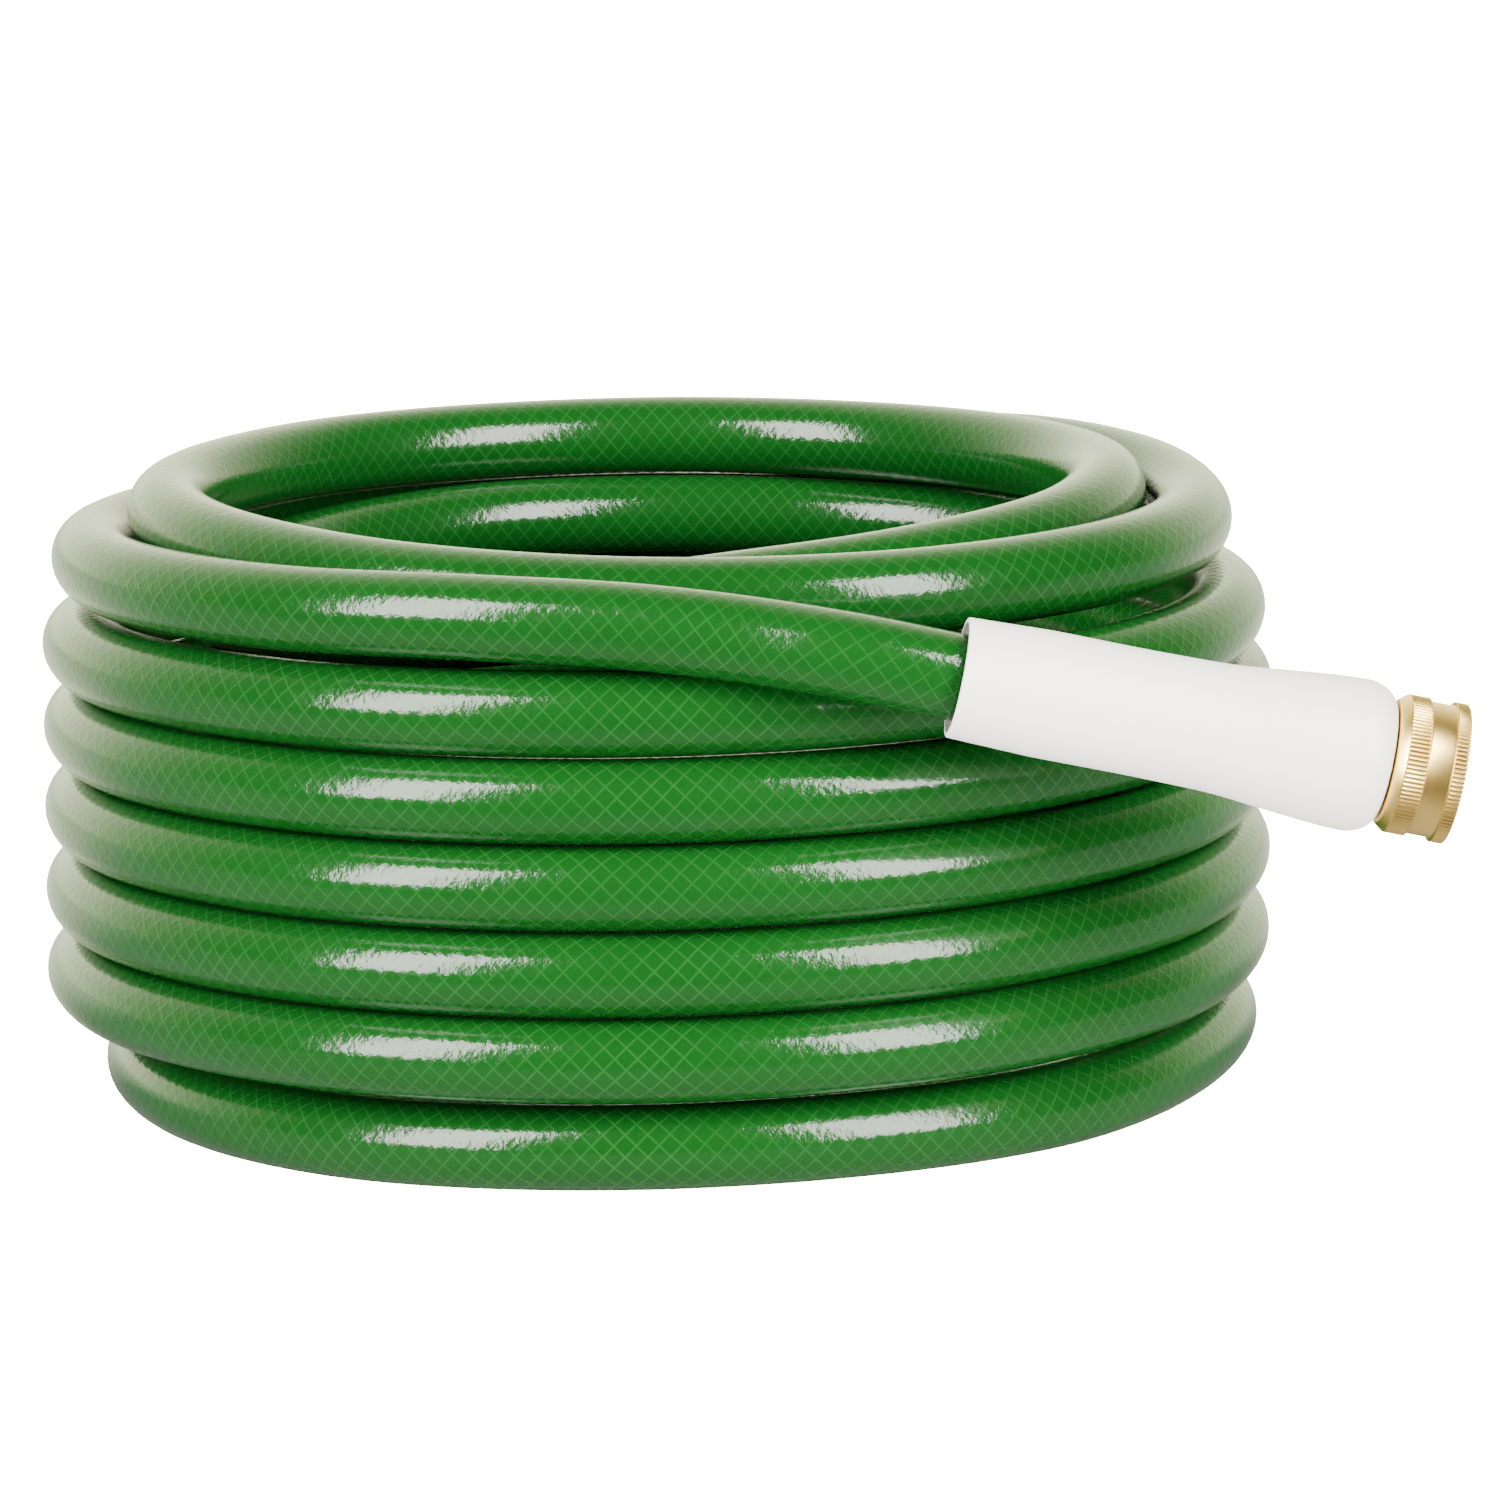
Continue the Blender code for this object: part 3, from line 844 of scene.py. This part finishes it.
class MESH_OT_garden_hose_collars(Operator):
    """Add the two moulded collars, one on each end of the hose"""

    bl_idname = "mesh.garden_hose_collars"
    bl_label = "Collars"

    def execute(self, context):
        plastic = collar_material(context.scene.garden_hose_collars)
        outline = collar_outline()
        free = turned("free_collar", outline, TURNED_STEPS)
        settle(free, free_end(), plastic, HOSE_BODY, "female_sleeve")
        inner = turned("inner_collar", outline, TURNED_STEPS)
        settle(inner, tail_end(), plastic, HOSE_BODY, "male_sleeve")
        return {"FINISHED"}


class MESH_OT_garden_hose_nut(Operator):
    """Add the knurled brass nut with its inside thread, which turns on the free end"""

    bl_idname = "mesh.garden_hose_nut"
    bl_label = "Swivel Nut"

    def execute(self, context):
        settings = context.scene.garden_hose_couplings
        thread_low = WASHER_FAR
        thread_high = NUT_FRONT - NUT_MOUTH_CHAMFER
        threads = thread_rows(NUT_SOCKET_RADIUS, thread_low, thread_high, settings.thread_pitch)
        nut = turned("knurled_nut", nut_outline() + threads, settings.ridges * STEPS_A_RIDGE)
        band = NUT_BACK + NUT_CHAMFER
        edge = TOUCH_GAP
        knurl(nut, settings, NUT_BAND_RADIUS, band - edge, band + NUT_BAND_WIDTH)
        knurl(nut, settings, NUT_RIM_RADIUS, NUT_FRONT - NUT_RIM_WIDTH, NUT_FRONT - edge)
        depth = settings.thread_depth * INNER_THREAD_SHARE
        press_thread(nut, NUT_SOCKET_RADIUS, thread_low, thread_high, settings.thread_pitch, depth, True)
        brass = brass_material(settings, "free brass", end_matrix(free_end()))
        settle(nut, free_end(), brass, NUT_BODY, "swivel_nut")
        return {"FINISHED"}


class MESH_OT_garden_hose_fittings(Operator):
    """Add the brass stem that carries the nut, and the threaded fitting of the inner end"""

    bl_idname = "mesh.garden_hose_fittings"
    bl_label = "Brass Fittings"

    def execute(self, context):
        settings = context.scene.garden_hose_couplings
        top = FLANGE_PLACE + FLANGE_THICKNESS
        shank = [
            (HEAD_RADIUS, HOSE_SEAT + TOUCH_GAP),
            (SHANK_RADIUS, HOSE_SEAT + TOUCH_GAP),
            (SHANK_RADIUS, HOSE_SEAT - SHANK_LENGTH),
            (SHANK_BORE_RADIUS, HOSE_SEAT - SHANK_LENGTH),
        ]
        stem_outline = [
            (SHANK_BORE_RADIUS, top),
            (FLANGE_RADIUS, top),
            (FLANGE_RADIUS, FLANGE_PLACE),
            (NECK_RADIUS, FLANGE_PLACE),
            (NECK_RADIUS, COLLAR_LENGTH),
            (HEAD_RADIUS, COLLAR_LENGTH),
            *shank,
        ]
        stem = turned("brass_stem", all_corners(stem_outline, FINE_EDGE), TURNED_STEPS)
        brass = brass_material(settings, "stem brass", end_matrix(free_end()))
        settle(stem, free_end(), brass, HOSE_BODY, "female_stem")

        pitch = settings.thread_pitch
        root = THREAD_RADIUS - settings.thread_depth
        thread_stop = THREAD_END - THREAD_CHAMFER
        rows = thread_rows(root, THREAD_START, thread_stop, pitch)
        outline = [
            (SHANK_BORE_RADIUS, THREAD_END),
            (root, THREAD_END),
            *reversed(rows),
            (SHOULDER_RADIUS, THREAD_START),
            (SHOULDER_RADIUS, NUT_BACK),
            (HEAD_RADIUS, NUT_BACK),
            *shank,
        ]
        shoulder = len(rows) + 2
        edges = {0: FULL_EDGE, 1: SMALL_EDGE, shoulder: PLAIN_EDGE, shoulder + 1: PLAIN_EDGE}
        fitting = turned("threaded_fitting", rounded(outline, edges), TURNED_STEPS)
        press_thread(fitting, root, THREAD_START, thread_stop, pitch, settings.thread_depth, False)
        brass = brass_material(settings, "inner brass", end_matrix(tail_end()))
        settle(fitting, tail_end(), brass, HOSE_BODY, "male_fitting")
        return {"FINISHED"}


class MESH_OT_garden_hose_washer(Operator):
    """Add the rubber washer that lies in the nut"""

    bl_idname = "mesh.garden_hose_washer"
    bl_label = "Washer"

    def execute(self, context):
        outer = NUT_SOCKET_RADIUS - TOUCH_GAP
        outline = [
            (WASHER_BORE_RADIUS, WASHER_FAR),
            (outer, WASHER_FAR),
            (outer, WASHER_NEAR),
            (WASHER_BORE_RADIUS, WASHER_NEAR),
        ]
        washer = turned("rubber_washer", all_corners(outline, PLAIN_EDGE), TURNED_STEPS)
        settle(washer, free_end(), rubber_material(), NUT_BODY, "washer")
        return {"FINISHED"}


class SCENE_OT_garden_hose_stage(Operator):
    """Add the camera, the pale floor, the backdrop, the card in the coil and the two softboxes"""

    bl_idname = "scene.garden_hose_stage"
    bl_label = "Stage"

    def execute(self, context):
        settings = context.scene.garden_hose_stage
        add_camera(context)
        add_floor(settings)
        add_backdrop(context, settings)
        add_shade()
        for name, azimuth in SOFTBOX_AZIMUTHS.items():
            add_softbox(name, azimuth, settings)
        return {"FINISHED"}


# Camera, floor, backdrop, card and softboxes


def add_camera(context):
    bpy.ops.object.select_all(action="DESELECT")
    bpy.ops.object.camera_add(
        location=model_origin() + CAMERA_PLACE,
        rotation=(math.pi / 2 - CAMERA_DOWN, 0.0, 0.0),
    )
    camera = context.active_object
    camera.name = "camera"
    camera.data.lens = CAMERA_LENS_MM
    camera.data.sensor_width = CAMERA_SENSOR_MM
    context.scene.camera = camera


def leaning_back(nodes, part):
    """How far behind the object a place or a direction lies, with the backdrop's lean."""
    aside = nodes.math("MULTIPLY", part["X"], BACKDROP_LEAN)
    return nodes.math("SUBTRACT", part["Y"], aside)


def floor_material(settings):
    """White to the camera outside the coil, with painted shade inside it, dim to reflections, and bright
    to them far behind.
    """
    nodes = new_material("pale floor")
    rays = nodes.add("ShaderNodeLightPath").outputs
    place = nodes.vector_math("SUBTRACT", nodes.coordinates(), model_origin())
    part = nodes.split(place)
    inside = nodes.vector_math("DISTANCE", place, FLOOR_DARK_PLACE, output="Value")
    away = nodes.vector_math("LENGTH", place, output="Value")

    seen = nodes.remap(part["Y"], TABLE_END, TABLE_NEAR, FLOOR_FAR_SHARE, FLOOR_NEAR_SHARE, "SMOOTHSTEP")
    share = nodes.remap(rays["Is Glossy Ray"], 0.0, 1.0, 1.0, seen)
    # Painted shade: the floor's colour is darker inside the coil, where the coil would shade it.
    shade = nodes.remap(inside, FLOOR_DARK_RADIUS, COIL_RADIUS, FLOOR_PAINTED_SHADE_SHARE, 1.0, "SMOOTHSTEP")
    pale = nodes.scaled(colour(settings.floor), nodes.math("MULTIPLY", share, shade))
    nodes.put(nodes.shader.inputs["Base Color"], pale)
    nodes.shader.inputs["Roughness"].default_value = 0.6
    nodes.shader.inputs["Specular IOR Level"].default_value = 0.0

    bearing = nodes.math("DIVIDE", leaning_back(nodes, part), away)
    most = FLOOR_BACK_SHARE * settings.backdrop
    back = nodes.remap(bearing, ROOM_END, BACKDROP_START, 0.0, most, "SMOOTHSTEP")
    shown = nodes.math("MULTIPLY", rays["Is Camera Ray"], settings.white)
    mirrored = nodes.math("MULTIPLY", back, rays["Is Glossy Ray"])
    spread = nodes.math("MULTIPLY", rays["Is Diffuse Ray"], FLOOR_GLOW)
    glow = nodes.math("ADD", nodes.math("ADD", shown, mirrored), spread)
    # Painted shade: inside the coil the floor gives off no white to the camera and no glow.
    outside = nodes.remap(inside, FLOOR_DARK_RADIUS, FLOOR_WHITE_RADIUS, 0.0, 1.0, "SMOOTHSTEP")
    nodes.put(nodes.shader.inputs["Emission Color"], (*colour(settings.tint), 1.0))
    nodes.put(nodes.shader.inputs["Emission Strength"], nodes.math("MULTIPLY", outside, glow))
    return nodes.owner


def add_floor(settings):
    bpy.ops.object.select_all(action="DESELECT")
    bpy.ops.mesh.primitive_plane_add(size=FLOOR_SIZE)
    floor = bpy.context.active_object
    floor.name = "floor"
    floor.data.materials.append(floor_material(settings))


def add_shade():
    """A black card in the coil that only reflections see, so none of them looks through a gap."""
    bpy.ops.object.select_all(action="DESELECT")
    bpy.ops.mesh.primitive_circle_add(
        vertices=TURNED_STEPS,
        radius=SHADE_RADIUS,
        fill_type="NGON",
        location=model_origin() + Vector((0.0, 0.0, SHADE_HEIGHT)),
    )
    card = bpy.context.active_object
    card.name = "shade"
    nodes = new_material("black card")
    nodes.shader.inputs["Base Color"].default_value = (0.0, 0.0, 0.0, 1.0)
    nodes.shader.inputs["Specular IOR Level"].default_value = 0.0
    card.data.materials.append(nodes.owner)
    card.visible_camera = False
    card.visible_diffuse = False
    card.visible_shadow = False


def add_backdrop(context, settings):
    """Even light from all sides; reflections see white behind the object and a dim room before it."""
    nodes = Nodes(bpy.data.worlds.new("studio"), "Background")
    rays = nodes.add("ShaderNodeLightPath").outputs
    part = nodes.split(nodes.add("ShaderNodeTexCoord").outputs["Generated"])
    leaning = leaning_back(nodes, part)
    behind = nodes.remap(leaning, ROOM_END, BACKDROP_START, settings.room, settings.backdrop, "SMOOTHSTEP")
    height = nodes.remap(part["Z"], BACKDROP_TOP, OVERHEAD_START, 1.0, OVERHEAD_SHARE, "SMOOTHSTEP")
    side = nodes.remap(part["X"], 0.0, RIGHT_START, 1.0, RIGHT_SHARE, "SMOOTHSTEP")
    mirrored = nodes.math("MULTIPLY", rays["Is Glossy Ray"], side)
    mirrored = nodes.math("MULTIPLY", mirrored, nodes.math("MULTIPLY", behind, height))
    even = nodes.math("MULTIPLY", nodes.math("SUBTRACT", 1.0, rays["Is Glossy Ray"]), settings.fill)
    direct = nodes.math("MULTIPLY", rays["Is Camera Ray"], settings.white)
    total = nodes.math("ADD", nodes.math("ADD", mirrored, even), direct)
    nodes.put(nodes.shader.inputs["Color"], (*colour(settings.tint), 1.0))
    nodes.put(nodes.shader.inputs["Strength"], total)
    context.scene.world = nodes.owner


def add_softbox(name, azimuth, settings):
    """A large softbox at an azimuth from the camera's side, turned to the object."""
    away = direction(math.radians(azimuth) - math.pi / 2, -SOFTBOX_RISE)
    place = model_origin() + SOFTBOX_TARGET + away * SOFTBOX_DISTANCE
    bpy.ops.object.select_all(action="DESELECT")
    bpy.ops.object.light_add(type="AREA", location=place)
    light = bpy.context.active_object
    light.name = name
    light.rotation_euler = away.to_track_quat("Z", "Y").to_euler()
    light.data.shape = "RECTANGLE"
    light.data.size = SOFTBOX_SIZE[0]
    light.data.size_y = SOFTBOX_SIZE[1]
    light.data.energy = settings.softboxes
    light.data.color = settings.warmth
    light.visible_camera = False


def declare_hose():
    """Work out the hose's route, and do nothing more with it."""
    centres = hose_route()


# Panel, registration and the order in which the pieces are added


class VIEW3D_PT_garden_hose(Panel):
    bl_label = "Garden Hose"
    bl_idname = "VIEW3D_PT_garden_hose"
    bl_space_type = "VIEW_3D"
    bl_region_type = "UI"
    bl_category = "Garden Hose"

    def draw(self, context):
        scene = context.scene
        for group_name, group_type in SETTINGS.items():
            box = self.layout.box()
            for name in group_type.__annotations__:
                box.prop(getattr(scene, group_name), name)
        for operator in OPERATORS:
            self.layout.operator(operator.bl_idname)


SETTINGS = {
    "garden_hose": HoseSettings,
    "garden_hose_collars": CollarSettings,
    "garden_hose_couplings": CouplingSettings,
    "garden_hose_stage": StageSettings,
}
OPERATORS = (
    SCENE_OT_garden_hose_stage,
    MESH_OT_garden_hose_tube,
    MESH_OT_garden_hose_collars,
    MESH_OT_garden_hose_nut,
    MESH_OT_garden_hose_fittings,
    MESH_OT_garden_hose_washer,
)


def register():
    for name, group in SETTINGS.items():
        bpy.utils.register_class(group)
        setattr(bpy.types.Scene, name, PointerProperty(type=group))
    for item in (*OPERATORS, VIEW3D_PT_garden_hose):
        bpy.utils.register_class(item)


def unregister():
    for item in reversed((*OPERATORS, VIEW3D_PT_garden_hose)):
        bpy.utils.unregister_class(item)
    for name, group in reversed(SETTINGS.items()):
        delattr(bpy.types.Scene, name)
        bpy.utils.unregister_class(group)


def main():
    register()
    bpy.ops.scene.garden_hose_stage()
    bpy.ops.mesh.garden_hose_tube()
    bpy.ops.mesh.garden_hose_collars()
    bpy.ops.mesh.garden_hose_nut()
    bpy.ops.mesh.garden_hose_fittings()
    bpy.ops.mesh.garden_hose_washer()
    declare_hose()


if __name__ == "__main__":
    main()
